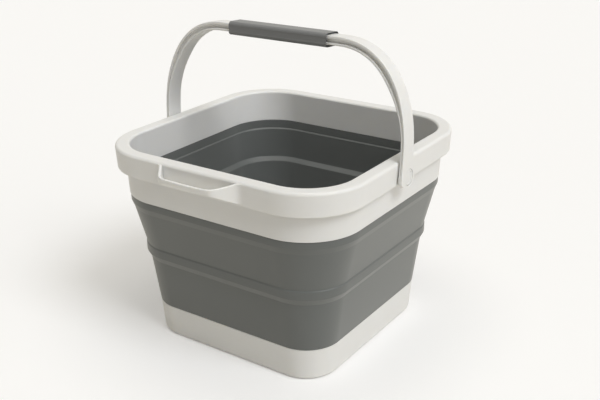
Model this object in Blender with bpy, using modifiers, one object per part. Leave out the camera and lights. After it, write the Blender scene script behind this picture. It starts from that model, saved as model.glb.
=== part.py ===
"""Collapsible camp bucket: a rounded-square bucket whose soft stepped wall folds between two hard shells.

The hard rim frame is a hollow flange with a skirt, a collar and a moulded loop handle. The soft wall is two
nested bands, so that the rim can slide down over the base pan. A bail of I section swings on two pivot pins
and carries a soft grip sleeve.

Frame: metres, +Z up, the middle of the underside at the origin, the loop handle on -Y, the pivots on +X
and -X.
"""
import math
from typing import NamedTuple

import bmesh
import bpy
from mathutils import Matrix, Vector

MM = 0.001

# Fits shared by every piece
GAP = 0.3 * MM                  # between neighbours that touch on the real product
OVERRUN = 2.0 * MM              # how far a cutter runs past what it cuts
EMBED = 0.6 * MM                # how far a joined shape is sunk into its carrier

# Base pan, from the floor up
FOOT_HALF = 105.2 * MM          # half width just above the foot's fillet
FOOT_FILLET = 4.6 * MM
PAN_HEIGHT = 35.0 * MM
PAN_FLARE = 2.4 * MM            # how much wider the pan is at its top than at its foot
PAN_WALL = 2.8 * MM
PAN_FLOOR = 3.6 * MM            # thickness of the floor over the foot
PAN_INNER_FILLET = 6.0 * MM
FOOT_RING = 7.5 * MM            # width of the outer foot ring
RELIEF_WIDTH = 22.0 * MM        # shallow relief between the foot ring and the middle of the floor
RELIEF_DEPTH = 1.2 * MM
TONGUE_HEIGHT = 5.0 * MM        # the tongue that the soft wall is moulded over
TONGUE_WALL = 1.1 * MM

# Soft wall, from the pan up
WALL = 2.8 * MM
LOWER_HEIGHT = 52.0 * MM
LOWER_FLARE = 6.5 * MM
LOWER_SLANT_HEIGHT = 6.8 * MM
LOWER_SLANT_STEP = 3.7 * MM
RIB_HEIGHT = 8.2 * MM
RIB_PROUD = 0.3 * MM
RIB_EDGE = 1.2 * MM
UPPER_HEIGHT = 41.0 * MM
UPPER_FLARE = 9.4 * MM
UPPER_SLANT_HEIGHT = 6.2 * MM
UPPER_SLANT_STEP = 2.4 * MM
LIP_HEIGHT = 6.8 * MM
NEST_GAP = 0.3 * MM             # between the bands where one slides down over the other
NEST_RISE = 3.2 * MM            # how far the lower band runs up inside the upper one
HOOP_TOP = 26.8 * MM            # height of the inner ledge over the bottom of the upper wall
HOOP_LEDGE = 5.0 * MM           # how far the inner ledge steps inwards
HOOP_FALL = 4.2 * MM            # height of that step
LINING_RISE = 16.2 * MM         # how far the lining runs up inside the collar
LINING_WALL = 4.3 * MM
LINING_BAND = 9.0 * MM          # the thick band at the lining's top
LINING_STEP = 1.2 * MM          # height of the slope under that band

# Rim frame, from the soft wall up
COLLAR_PROUD = 0.3 * MM
COLLAR_SHOW = 27.2 * MM         # height of collar that shows between the soft wall and the skirt
COLLAR_FLARE = 1.0 * MM
COLLAR_WALL = 2.6 * MM
SHOULDER_DROP = 1.5 * MM        # how far the shoulder lies under the skirt's lower edge
SHOULDER_RISE = 3.5 * MM
SKIRT_STEP = 6.5 * MM           # how far the skirt stands out from the collar
SKIRT_HEIGHT = 22.8 * MM
SKIRT_FLARE = 1.2 * MM
SKIRT_WALL = 2.6 * MM
FLANGE_WIDTH = 14.4 * MM
FLANGE_WALL = 2.8 * MM
LEG_WALL = 2.8 * MM
LEG_TAPER = 0.9 * MM            # how much the inner leg leans inwards towards its foot
RIM_OUTER_EDGE = 3.0 * MM
RIM_INNER_EDGE = 2.4 * MM
SMALL_EDGE = 0.8 * MM

# Corners: half of the straight side between two corner arcs
PAN_STRAIGHT = 71.0 * MM
WALL_STRAIGHT = 71.4 * MM
COLLAR_STRAIGHT = 72.5 * MM
RIM_STRAIGHT = 77.4 * MM

# Loop handle on the front face
LOOP_HALF = 46.0 * MM           # half of its length along the skirt
LOOP_REACH = 22.0 * MM          # how far it stands out from the skirt
LOOP_WALL = 2.6 * MM
LOOP_BAR = 5.0 * MM             # height of the bar at the middle
LOOP_TOP_DROP = 5.4 * MM        # the bar's top under the rim's top at the middle
LOOP_ROOT_DROP = 1.4 * MM       # the same at the roots
LOOP_ROOT_RISE = 0.9 * MM       # the roots' lower end over the skirt's lower edge
LOOP_BLEND = 2.6 * MM           # softness of the run into the skirt
LOOP_EDGE = 0.8 * MM
LOOP_CORNER = 6.5 * MM          # softness of the two corners of its outline seen from above
LOOP_FLANK_SHARE = 1.5          # how far a flank runs out for each length that it runs along
LOOP_TOP_SHARES = 4.7           # exponent of its upper edge seen from the front
LOOP_BOTTOM_SHARES = 2.7        # exponent of its lower edge
LOOP_END_SHARE = 1.045          # where the run into the skirt ends

# Pivots
PIVOT_DROP = 16.9 * MM          # the pivot's axis under the rim's top
PIVOT_AHEAD = 8.0 * MM          # the pivot's axis in front of the bucket's middle
BOSS_RADIUS = 7.6 * MM
PIN_RADIUS = 4.0 * MM
PIN_FIT = 0.35 * MM             # radial clearance of the pin in its holes
PIN_SEAT = 9.0 * MM             # length of pin inside the boss
PIN_HEAD_RADIUS = 7.8 * MM
PIN_HEAD_HEIGHT = 2.2 * MM
PIN_RING = 1.8 * MM             # width of the raised ring round the pin's head
PIN_DISH = 0.5 * MM             # depth of the dish inside that ring
PIN_CHAMFER = 0.8 * MM
HEAD_SUNK = 0.3 * MM            # how far the head lies under the arm's face

# Bail
BAIL_CLEAR = 1.4 * MM           # between the rim's side and the arms
BAIL_RISE = 121.6 * MM          # height of its outer face over the pivots
BAIL_LEG = 13.0 * MM            # straight length of each leg over the pivot
BAIL_TOP_HALF = 62.0 * MM       # half of the straight length at the top
BAIL_BREADTH = 16.0 * MM
BAIL_THICKNESS = 6.4 * MM
BAIL_PLATE = 1.8 * MM           # the two plates of the I section
BAIL_WEB = 12.4 * MM
BAIL_EDGE = 0.7 * MM
BAIL_LEAN = math.radians(1.8)   # lean away from the loop handle as it stands
BAIL_BEND_SHARES = 2.2          # exponent of the bend between leg and top
EYE_RADIUS = 9.6 * MM
EYE_PROUD = 0.2 * MM            # how far the eye stands out from the plates, each side

# Grip sleeve
GRIP_LENGTH = 113.0 * MM
GRIP_BREADTH = 21.4 * MM
GRIP_OVER = 2.0 * MM            # sleeve over the bail's outer face
GRIP_UNDER = 4.6 * MM           # sleeve under its inner face
GRIP_EDGE = 4.2 * MM
GRIP_BORE_EDGE = 0.9 * MM
GRIP_END_ROUND = 1.2 * MM
GRIP_BORE_GAP = 0.5 * MM

# Fineness
CORNER_STEPS = 10
FILLET_STEPS = 3
EDGE_STEPS = 2
FILLET_LIMIT_SHARE = 0.45       # the most of a short side that one fillet takes
MERGE_SHARE = 0.1               # of the gap between neighbours: points closer than this are one
ROUND_STEPS = 32
ARCH_STATIONS = 56
ARCH_FINE_STEPS = 2000
GRIP_STATIONS = 12
LOOP_STATIONS = 44

# Heights and half widths that follow from the sizes above
PAN_HALF = FOOT_HALF + PAN_FLARE
Z_LOWER = PAN_HEIGHT + LOWER_HEIGHT
LOWER_HALF = PAN_HALF + LOWER_FLARE
Z_RIB = Z_LOWER + LOWER_SLANT_HEIGHT
RIB_HALF = LOWER_HALF + LOWER_SLANT_STEP
Z_RIB_TOP = Z_RIB + RIB_HEIGHT
Z_UPPER = Z_RIB_TOP + RIB_EDGE
UPPER_HALF = RIB_HALF - RIB_PROUD
Z_UPPER_TOP = Z_UPPER + UPPER_HEIGHT
UPPER_TOP_HALF = UPPER_HALF + UPPER_FLARE
Z_LIP = Z_UPPER_TOP + UPPER_SLANT_HEIGHT
LIP_HALF = UPPER_TOP_HALF + UPPER_SLANT_STEP
Z_LIP_TOP = Z_LIP + LIP_HEIGHT
Z_COLLAR = Z_LIP_TOP + GAP
COLLAR_HALF = LIP_HALF + COLLAR_PROUD
Z_SKIRT = Z_COLLAR + COLLAR_SHOW
COLLAR_TOP_HALF = COLLAR_HALF + COLLAR_FLARE
SKIRT_HALF = COLLAR_TOP_HALF + SKIRT_STEP
Z_RIM = Z_SKIRT + SKIRT_HEIGHT
RIM_HALF = SKIRT_HALF + SKIRT_FLARE
Z_REBATE = Z_COLLAR + LINING_RISE + GAP
Z_PIVOT = Z_RIM - PIVOT_DROP
BAIL_HALF = RIM_HALF + BAIL_CLEAR + BAIL_THICKNESS


class Section(NamedTuple):
    """One corner of a wall's profile: half width, height, straight half side and its fillet."""

    half: float
    z: float
    straight: float
    fillet: float = 0.0


def clear_scene() -> None:
    """Remove every object, so that the model starts from nothing."""
    for item in list(bpy.data.objects):
        bpy.data.objects.remove(item, do_unlink=True)


def collection(name: str) -> bpy.types.Collection:
    """Make a collection under the scene's own."""
    made = bpy.data.collections.new(name)
    bpy.context.scene.collection.children.link(made)
    return made


def material(name: str, colour: tuple[float, float, float], roughness: float) -> bpy.types.Material:
    """Make a plain moulded plastic."""
    made = bpy.data.materials.new(name)
    made.use_nodes = True
    shader = made.node_tree.nodes["Principled BSDF"]
    shader.inputs["Base Color"].default_value = (*colour, 1.0)
    shader.inputs["Roughness"].default_value = roughness
    shader.inputs["Metallic"].default_value = 0.0
    return made


def mesh_object(name: str, bm: bmesh.types.BMesh, target: bpy.types.Collection) -> bpy.types.Object:
    """Turn a bmesh into an object with its faces pointing out."""
    bmesh.ops.recalc_face_normals(bm, faces=bm.faces)
    mesh = bpy.data.meshes.new(name)
    bm.to_mesh(mesh)
    bm.free()
    made = bpy.data.objects.new(name, mesh)
    target.objects.link(made)
    return made


def finish(piece: bpy.types.Object, finish_material: bpy.types.Material) -> None:
    """Give a piece its material and smooth shading over its shallow angles."""
    piece.data.materials.append(finish_material)
    piece.data.shade_smooth()
    piece.data.set_sharp_from_angle(angle=math.radians(30.0))


def filleted(corners: list[Section], closed: bool) -> list[Section]:
    """Replace each corner that has a fillet by the points of its arc."""
    count = len(corners)
    points = []
    for index, corner in enumerate(corners):
        at_end = not closed and index in (0, count - 1)
        if corner.fillet <= 0.0 or at_end:
            points.append(corner)
            continue
        here = Vector(corner[:3])
        back = Vector(corners[index - 1][:3]) - here
        ahead = Vector(corners[(index + 1) % count][:3]) - here
        half_angle = back.angle(ahead) / 2.0
        reach = min(corner.fillet / math.tan(half_angle), FILLET_LIMIT_SHARE * min(back.length, ahead.length))
        radius = reach * math.tan(half_angle)
        middle = here + (back.normalized() + ahead.normalized()).normalized() * radius / math.sin(half_angle)
        first = here + back.normalized() * reach - middle
        last = here + ahead.normalized() * reach - middle
        steps = EDGE_STEPS if corner.fillet <= SMALL_EDGE else FILLET_STEPS
        for step in range(steps + 1):
            points.append(Section(*(middle + first.slerp(last, step / steps).normalized() * radius)))
    return points


def rounded_square(section: Section) -> list[Vector]:
    """Points of one ring: four corner arcs joined by straight sides."""
    radius = section.half - section.straight
    points = []
    for quadrant, (side_x, side_y) in enumerate(((1, 1), (-1, 1), (-1, -1), (1, -1))):
        for step in range(CORNER_STEPS + 1):
            angle = (quadrant + step / CORNER_STEPS) * math.pi / 2.0
            points.append(Vector((side_x * section.straight + radius * math.cos(angle),
                                  side_y * section.straight + radius * math.sin(angle), section.z)))
    return points


def loft(rings: list[list[Vector]], closed: bool) -> bmesh.types.BMesh:
    """Skin a row of rings, either back onto the first ring or with a cap on each end."""
    bm = bmesh.new()
    rows = [[bm.verts.new(point) for point in ring] for ring in rings]
    pairs = list(zip(rows, rows[1:]))
    if closed:
        pairs.append((rows[-1], rows[0]))
    for low, high in pairs:
        for index in range(len(low)):
            after = (index + 1) % len(low)
            bm.faces.new((low[index], low[after], high[after], high[index]))
    if not closed:
        bm.faces.new(rows[0])
        bm.faces.new(rows[-1])
    return bm


def shell(name: str, corners: list[Section], closed: bool, target: bpy.types.Collection) -> bpy.types.Object:
    """Loft a wall's profile round the rounded square."""
    rings = [rounded_square(section) for section in filleted(corners, closed)]
    return mesh_object(name, loft(rings, closed), target)


def disc(name: str, radius: float, start: float, end: float,
         target: bpy.types.Collection) -> bpy.types.Object:
    """Make a cylinder along X between two places, at the height of its own origin."""
    bm = bmesh.new()
    bmesh.ops.create_cone(bm, cap_ends=True, segments=ROUND_STEPS, radius1=radius, radius2=radius,
                          depth=abs(end - start))
    bmesh.ops.rotate(bm, verts=bm.verts, cent=Vector(), matrix=Matrix.Rotation(math.pi / 2.0, 3, "Y"))
    bmesh.ops.translate(bm, verts=bm.verts, vec=Vector(((start + end) / 2.0, 0.0, 0.0)))
    made = mesh_object(name, bm, target)
    made.hide_render = True
    made.display_type = "WIRE"
    return made


def combine(piece: bpy.types.Object, other: bpy.types.Object, operation: str) -> None:
    """Join another object to a piece, or cut it out of the piece."""
    boolean = piece.modifiers.new(other.name, "BOOLEAN")
    boolean.operation = operation
    boolean.solver = "EXACT"
    boolean.object = other


def base_pan(target: bpy.types.Collection) -> bpy.types.Object:
    """Hard pan: outer wall, tongue for the soft wall, inner wall and floor, with a relief under the floor."""
    foot_half = FOOT_HALF - PAN_FLARE * FOOT_FILLET / PAN_HEIGHT
    ring_half = foot_half - FOOT_FILLET - FOOT_RING
    inner_half = PAN_HALF - PAN_WALL
    tongue_top = PAN_HEIGHT + TONGUE_HEIGHT
    pan_slope = PAN_FLARE / PAN_HEIGHT
    corners = [
        Section(ring_half - RELIEF_WIDTH, 0.0, PAN_STRAIGHT / 2.0),
        Section(ring_half - RELIEF_WIDTH + RELIEF_DEPTH, RELIEF_DEPTH, PAN_STRAIGHT / 2.0),
        Section(ring_half, RELIEF_DEPTH, PAN_STRAIGHT),
        Section(ring_half + RELIEF_DEPTH, 0.0, PAN_STRAIGHT),
        Section(foot_half, 0.0, PAN_STRAIGHT, FOOT_FILLET),
        Section(PAN_HALF, PAN_HEIGHT - GAP, PAN_STRAIGHT),
        Section(inner_half + TONGUE_WALL, PAN_HEIGHT - GAP, PAN_STRAIGHT),
        Section(inner_half + TONGUE_WALL, tongue_top, PAN_STRAIGHT),
        Section(inner_half, tongue_top, PAN_STRAIGHT),
        Section(inner_half - pan_slope * (PAN_HEIGHT - PAN_FLOOR), PAN_FLOOR, PAN_STRAIGHT, PAN_INNER_FILLET),
        Section(ring_half - RELIEF_WIDTH, PAN_FLOOR, PAN_STRAIGHT / 2.0),
    ]
    return shell("base_pan", corners, False, target)


def lower_wall_band(target: bpy.types.Collection) -> bpy.types.Object:
    """Soft lower wall, moulded over the pan's tongue."""
    inner_half = PAN_HALF - PAN_WALL
    tongue_half = inner_half + TONGUE_WALL + GAP
    tongue_top = PAN_HEIGHT + TONGUE_HEIGHT + GAP
    corners = [
        Section(PAN_HALF, PAN_HEIGHT, WALL_STRAIGHT),
        Section(LOWER_HALF, Z_LOWER, WALL_STRAIGHT),
        Section(LOWER_HALF, Z_LOWER + NEST_RISE, WALL_STRAIGHT, SMALL_EDGE),
        Section(LOWER_HALF - WALL, Z_LOWER + NEST_RISE, WALL_STRAIGHT, SMALL_EDGE),
        Section(inner_half, tongue_top, WALL_STRAIGHT),
        Section(tongue_half, tongue_top, WALL_STRAIGHT),
        Section(tongue_half, PAN_HEIGHT, WALL_STRAIGHT),
    ]
    return shell("lower_wall_band", corners, True, target)


def upper_wall_band(target: bpy.types.Collection) -> bpy.types.Object:
    """Soft upper wall: lining, lip under the collar, tapered wall, rib, and the slant over the lower band."""
    nest_half = LOWER_HALF + NEST_GAP
    edge_share = (nest_half + GAP - LOWER_HALF) / LOWER_SLANT_STEP
    z_edge = Z_LOWER + LOWER_SLANT_HEIGHT * edge_share
    z_hoop = Z_UPPER + HOOP_TOP
    hoop_half = UPPER_HALF + UPPER_FLARE * HOOP_TOP / UPPER_HEIGHT - WALL
    lining_half = COLLAR_HALF - COLLAR_WALL - GAP
    lining_flare = COLLAR_FLARE * LINING_RISE / COLLAR_SHOW
    lining_inner = lining_half + lining_flare - LINING_WALL
    z_lining = Z_COLLAR + LINING_RISE
    corners = [
        Section(lining_half + lining_flare, z_lining, COLLAR_STRAIGHT, SMALL_EDGE),
        Section(lining_half, Z_LIP_TOP, COLLAR_STRAIGHT),
        Section(LIP_HALF, Z_LIP_TOP, WALL_STRAIGHT, SMALL_EDGE),
        Section(LIP_HALF, Z_LIP, WALL_STRAIGHT, SMALL_EDGE),
        Section(UPPER_TOP_HALF, Z_UPPER_TOP, WALL_STRAIGHT, SMALL_EDGE),
        Section(UPPER_HALF, Z_UPPER, WALL_STRAIGHT),
        Section(RIB_HALF, Z_RIB_TOP, WALL_STRAIGHT, SMALL_EDGE),
        Section(RIB_HALF, Z_RIB, WALL_STRAIGHT, SMALL_EDGE),
        Section(nest_half + GAP, z_edge, WALL_STRAIGHT),
        Section(nest_half, z_edge, WALL_STRAIGHT),
        Section(UPPER_HALF - WALL, Z_UPPER, WALL_STRAIGHT),
        Section(hoop_half - HOOP_LEDGE, z_hoop - HOOP_FALL, WALL_STRAIGHT, SMALL_EDGE),
        Section(hoop_half, z_hoop, WALL_STRAIGHT, SMALL_EDGE),
        Section(lining_inner - LINING_STEP, z_lining - LINING_BAND - LINING_STEP, WALL_STRAIGHT, SMALL_EDGE),
        Section(lining_inner, z_lining - LINING_BAND, COLLAR_STRAIGHT, SMALL_EDGE),
        Section(lining_inner, z_lining, COLLAR_STRAIGHT, SMALL_EDGE),
    ]
    return shell("upper_wall_band", corners, True, target)


def rim_section(target: bpy.types.Collection) -> bpy.types.Object:
    """Hollow rim: flange, skirt and inner leg make an inverted channel, and the collar hangs from the leg."""
    leg_half = RIM_HALF - FLANGE_WIDTH
    leg_foot = leg_half - LEG_TAPER
    z_shoulder = Z_SKIRT - SHOULDER_DROP
    z_leg = z_shoulder + SHOULDER_RISE
    leg_share = (z_leg - Z_REBATE) / (Z_RIM - Z_REBATE)
    leg_outer = leg_foot + LEG_TAPER * leg_share + LEG_WALL
    rebate_half = COLLAR_HALF + COLLAR_FLARE * (Z_REBATE - Z_COLLAR) / COLLAR_SHOW - COLLAR_WALL
    corners = [
        Section(leg_half, Z_RIM, RIM_STRAIGHT, RIM_INNER_EDGE),
        Section(RIM_HALF, Z_RIM, RIM_STRAIGHT, RIM_OUTER_EDGE),
        Section(SKIRT_HALF, Z_SKIRT, RIM_STRAIGHT, SMALL_EDGE),
        Section(SKIRT_HALF - SKIRT_WALL, Z_SKIRT, RIM_STRAIGHT, SMALL_EDGE),
        Section(RIM_HALF - SKIRT_WALL, Z_RIM - FLANGE_WALL, RIM_STRAIGHT),
        Section(leg_half + LEG_WALL, Z_RIM - FLANGE_WALL, RIM_STRAIGHT),
        Section(leg_outer, z_leg, RIM_STRAIGHT),
        Section(COLLAR_TOP_HALF, z_shoulder, COLLAR_STRAIGHT, SMALL_EDGE),
        Section(COLLAR_HALF, Z_COLLAR, COLLAR_STRAIGHT, SMALL_EDGE),
        Section(COLLAR_HALF - COLLAR_WALL, Z_COLLAR, COLLAR_STRAIGHT),
        Section(rebate_half, Z_REBATE, COLLAR_STRAIGHT),
        Section(leg_foot, Z_REBATE, COLLAR_STRAIGHT, SMALL_EDGE),
    ]
    return shell("rim_frame", corners, True, target)


def skirt_half_at(z: float) -> float:
    """Half width over the skirt's outer face at a height."""
    return SKIRT_HALF + SKIRT_FLARE * (z - Z_SKIRT) / SKIRT_HEIGHT


def loop_reach_at(along: float) -> float:
    """How far the loop handle's outer face stands out of the skirt, with a soft run into it at both ends."""
    flank = (LOOP_HALF - abs(along)) * LOOP_FLANK_SHARE
    bulge = (LOOP_REACH + flank - math.hypot(LOOP_REACH - flank, LOOP_CORNER)) / 2.0
    return (bulge + math.hypot(bulge, LOOP_BLEND)) / 2.0 - EMBED


def loop_handle(target: bpy.types.Collection) -> bpy.types.Object:
    """Loop handle: a band that bulges out of the skirt, tall at its roots and a slim bar at the middle."""
    end = LOOP_HALF * LOOP_END_SHARE
    nudge = LOOP_EDGE / LOOP_STATIONS
    rings = []
    for station in range(LOOP_STATIONS + 1):
        along = end * math.sin((station / LOOP_STATIONS - 0.5) * math.pi)
        slope = (loop_reach_at(along + nudge) - loop_reach_at(along - nudge)) / (2.0 * nudge)
        inward = Vector((slope, -1.0)).normalized() * LOOP_WALL
        share = min(abs(along) / LOOP_HALF, 1.0)
        bar_top = Z_RIM - LOOP_TOP_DROP
        root_top = Z_RIM - LOOP_ROOT_DROP
        bar_bottom = bar_top - LOOP_BAR
        root_bottom = Z_SKIRT + LOOP_ROOT_RISE
        top = bar_top + (root_top - bar_top) * share ** LOOP_TOP_SHARES
        bottom = bar_bottom + (root_bottom - bar_bottom) * share ** LOOP_BOTTOM_SHARES
        edge_share = LOOP_EDGE / LOOP_WALL
        outline = ((0.0, bottom + LOOP_EDGE), (0.0, top - LOOP_EDGE), (edge_share, top),
                   (1.0 - edge_share, top), (1.0, top - LOOP_EDGE), (1.0, bottom + LOOP_EDGE),
                   (1.0 - edge_share, bottom), (edge_share, bottom))
        ring = []
        for depth_share, z in outline:
            reach = loop_reach_at(along) + inward.y * depth_share
            reach = max(reach, EMBED - SKIRT_WALL)
            ring.append(Vector((along + inward.x * depth_share, -skirt_half_at(z) - reach, z)))
        rings.append(ring)
    return mesh_object("loop_handle_blank", loft(rings, False), target)


def rim_frame(parts: bpy.types.Collection, cutters: bpy.types.Collection) -> bpy.types.Object:
    """Rim with its loop handle, and on each side a boss that is bored for the pivot pin."""
    rim = rim_section(parts)
    loop = loop_handle(cutters)
    loop.hide_render = True
    loop.display_type = "WIRE"
    combine(rim, loop, "UNION")
    leg_half = RIM_HALF - FLANGE_WIDTH
    boss_end = BAIL_HALF - BAIL_THICKNESS - EYE_PROUD - GAP
    for name, side in (("left", -1.0), ("right", 1.0)):
        boss = disc(f"boss_{name}_blank", BOSS_RADIUS, side * (leg_half + LEG_WALL / 2.0),
                    side * boss_end, cutters)
        bore = disc(f"boss_{name}_bore", PIN_RADIUS + PIN_FIT, side * (boss_end - PIN_SEAT - GAP),
                    side * (boss_end + OVERRUN), cutters)
        boss.location = (0.0, -PIVOT_AHEAD, Z_PIVOT)
        bore.location = (0.0, -PIVOT_AHEAD, Z_PIVOT)
        combine(rim, boss, "UNION")
        combine(rim, bore, "DIFFERENCE")
    return rim


def arch_point(angle: float) -> Vector:
    """Middle line of the bail's bend in its own plane: across, and up from the pivots."""
    power = 2.0 / BAIL_BEND_SHARES
    bend_across = BAIL_HALF - BAIL_THICKNESS / 2.0 - BAIL_TOP_HALF
    bend_up = BAIL_RISE - BAIL_THICKNESS / 2.0 - BAIL_LEG
    across = BAIL_TOP_HALF + bend_across * abs(math.cos(angle)) ** power
    up = BAIL_LEG + bend_up * max(math.sin(angle), 0.0) ** power
    return Vector((math.copysign(across, math.cos(angle)), up))


def arch_stations(count: int, reach: float) -> list[tuple[Vector, Vector]]:
    """Evenly spaced points of the middle line, within a reach of its middle, each with its way out."""
    leg_half = BAIL_HALF - BAIL_THICKNESS / 2.0
    bends = [arch_point(math.pi * step / ARCH_FINE_STEPS) for step in range(ARCH_FINE_STEPS + 1)]
    fine = [Vector((leg_half, 0.0)), *bends, Vector((-leg_half, 0.0))]
    lengths = [0.0]
    for before, after in zip(fine, fine[1:]):
        lengths.append(lengths[-1] + (after - before).length)
    middle = lengths[-1] / 2.0
    half = min(reach, middle)
    stations = []
    place = 0
    for step in range(count + 1):
        wanted = middle - half + 2.0 * half * step / count
        while place < len(lengths) - 2 and lengths[place + 1] < wanted:
            place += 1
        share = (wanted - lengths[place]) / (lengths[place + 1] - lengths[place])
        run = (fine[place + 1] - fine[place]).normalized()
        stations.append((fine[place].lerp(fine[place + 1], share), Vector((run.y, -run.x))))
    return stations


def placed(station: tuple[Vector, Vector], outline: list[tuple[float, float]]) -> list[Vector]:
    """Set a flat outline (sideways, outwards) square across the bail's middle line."""
    point, outwards = station
    return [Vector((point.x + outwards.x * out, side, point.y + outwards.y * out)) for side, out in outline]


def rounded_outline(half_side: float, low: float, high: float, radius: float) -> list[tuple[float, float]]:
    """A rectangle with round corners, in the order that the lofts use."""
    outline = []
    middles = ((1, high - radius), (-1, high - radius), (-1, low + radius), (1, low + radius))
    for quadrant, (side, out) in enumerate(middles):
        for step in range(FILLET_STEPS + 1):
            angle = (quadrant + step / FILLET_STEPS) * math.pi / 2.0
            across = side * (half_side - radius) + radius * math.cos(angle)
            outline.append((across, out + radius * math.sin(angle)))
    return outline


def bail_outline() -> list[tuple[float, float]]:
    """I section of the bail: two plates with eased edges, and the web between them."""
    half = BAIL_BREADTH / 2.0
    high = BAIL_THICKNESS / 2.0
    web = BAIL_WEB / 2.0
    quarter = [(web, high - BAIL_PLATE), (half, high - BAIL_PLATE), (half, high - BAIL_EDGE),
               (half - BAIL_EDGE, high)]
    outline = list(quarter)
    outline += [(-side, out) for side, out in reversed(quarter)]
    outline += [(-side, -out) for side, out in quarter]
    outline += [(side, -out) for side, out in reversed(quarter)]
    return outline


def bail(parts: bpy.types.Collection, cutters: bpy.types.Collection,
         pivot: bpy.types.Object) -> bpy.types.Object:
    """Bail: an arch of I section with a bored and counterbored eye at each end."""
    stations = arch_stations(ARCH_STATIONS, BAIL_HALF + BAIL_RISE)
    arch = mesh_object("bail", loft([placed(station, bail_outline()) for station in stations], False), parts)
    arch.parent = pivot
    inner = BAIL_HALF - BAIL_THICKNESS - EYE_PROUD
    outer = BAIL_HALF + EYE_PROUD
    seat = outer - HEAD_SUNK - PIN_HEAD_HEIGHT - GAP
    for name, side in (("left", -1.0), ("right", 1.0)):
        past = side * (outer + OVERRUN)
        eye = disc(f"eye_{name}_blank", EYE_RADIUS, side * inner, side * outer, cutters)
        bore = disc(f"eye_{name}_bore", PIN_RADIUS + PIN_FIT, side * (inner - OVERRUN), past, cutters)
        sink = disc(f"eye_{name}_sink", PIN_HEAD_RADIUS + PIN_FIT, side * seat, past, cutters)
        for tool, operation in ((eye, "UNION"), (bore, "DIFFERENCE"), (sink, "DIFFERENCE")):
            tool.parent = pivot
            combine(arch, tool, operation)
    return arch


def grip_sleeve(parts: bpy.types.Collection, pivot: bpy.types.Object) -> bpy.types.Object:
    """Soft sleeve round the top of the bail, with rounded ends and a bore that clears the bail."""
    half_side = GRIP_BREADTH / 2.0
    high = BAIL_THICKNESS / 2.0 + GRIP_OVER
    low = -BAIL_THICKNESS / 2.0 - GRIP_UNDER
    bore_side = BAIL_BREADTH / 2.0 + GRIP_BORE_GAP
    bore_high = BAIL_THICKNESS / 2.0 + GRIP_BORE_GAP
    stations = arch_stations(GRIP_STATIONS, GRIP_LENGTH / 2.0)
    outer = []
    for index, station in enumerate(stations):
        if index not in (0, GRIP_STATIONS):
            outer.append(placed(station, rounded_outline(half_side, low, high, GRIP_EDGE)))
            continue
        way = Vector((station[1].y, -station[1].x)) if index == 0 else Vector((-station[1].y, station[1].x))
        end_rings = []
        for step in range(FILLET_STEPS + 1):
            angle = math.pi / 2.0 * step / FILLET_STEPS
            inset = GRIP_END_ROUND * (1.0 - math.sin(angle))
            back = GRIP_END_ROUND * (1.0 - math.cos(angle))
            moved = (station[0] - way * back, station[1])
            outline = rounded_outline(half_side - inset, low + inset, high - inset, GRIP_EDGE - inset)
            end_rings.append(placed(moved, outline))
        outer += end_rings if index == 0 else list(reversed(end_rings))
    bore_outline = rounded_outline(bore_side, -bore_high, bore_high, GRIP_BORE_EDGE)
    bore = [placed(station, bore_outline) for station in reversed(stations)]
    sleeve = mesh_object("grip_sleeve", loft(outer + bore, True), parts)
    sleeve.parent = pivot
    return sleeve


def pivot_pin(name: str, side: float, target: bpy.types.Collection) -> bpy.types.Object:
    """Headed pin, turned about its own axis: the head lies in the eye, the shank in the boss."""
    face = BAIL_HALF + EYE_PROUD - HEAD_SUNK
    tip = BAIL_HALF - BAIL_THICKNESS - EYE_PROUD - GAP - PIN_SEAT
    profile = [
        (0.0, face - PIN_DISH),
        (PIN_HEAD_RADIUS - PIN_RING - PIN_DISH, face - PIN_DISH),
        (PIN_HEAD_RADIUS - PIN_RING, face),
        (PIN_HEAD_RADIUS - PIN_DISH, face),
        (PIN_HEAD_RADIUS, face - PIN_DISH),
        (PIN_HEAD_RADIUS, face - PIN_HEAD_HEIGHT),
        (PIN_RADIUS, face - PIN_HEAD_HEIGHT),
        (PIN_RADIUS, tip + PIN_CHAMFER),
        (PIN_RADIUS - PIN_CHAMFER, tip),
        (0.0, tip),
    ]
    bm = bmesh.new()
    points = [bm.verts.new((radius, 0.0, z)) for radius, z in profile]
    for before, after in zip(points, points[1:]):
        bm.edges.new((before, after))
    mesh = bpy.data.meshes.new(name)
    bm.to_mesh(mesh)
    bm.free()
    pin = bpy.data.objects.new(name, mesh)
    target.objects.link(pin)
    turn = pin.modifiers.new("turn", "SCREW")
    turn.axis = "Z"
    turn.angle = 2.0 * math.pi
    turn.steps = ROUND_STEPS
    turn.render_steps = ROUND_STEPS
    turn.use_merge_vertices = True
    turn.merge_threshold = GAP * MERGE_SHARE
    turn.use_smooth_shade = True
    pin.rotation_euler = (0.0, side * math.pi / 2.0, 0.0)
    pin.location = (0.0, -PIVOT_AHEAD, Z_PIVOT)
    return pin


def main() -> None:
    """Build the bucket."""
    clear_scene()
    parts = collection("collapsible_bucket")
    cutters = collection("cutters")
    hard = material("warm_white_plastic", (0.72, 0.70, 0.66), 0.45)
    soft = material("grey_soft_wall", (0.115, 0.118, 0.108), 0.6)
    grip = material("grey_grip", (0.09, 0.092, 0.092), 0.65)
    finish(base_pan(parts), hard)
    finish(lower_wall_band(parts), soft)
    finish(upper_wall_band(parts), soft)
    finish(rim_frame(parts, cutters), hard)
    pivot = bpy.data.objects.new("bail_pivot", None)
    parts.objects.link(pivot)
    pivot.location = (0.0, -PIVOT_AHEAD, Z_PIVOT)
    pivot.rotation_euler = (-BAIL_LEAN, 0.0, 0.0)
    finish(bail(parts, cutters, pivot), hard)
    finish(grip_sleeve(parts, pivot), grip)
    for name, side in (("pivot_pin_left", -1.0), ("pivot_pin_right", 1.0)):
        finish(pivot_pin(name, side, parts), hard)


main()
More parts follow.
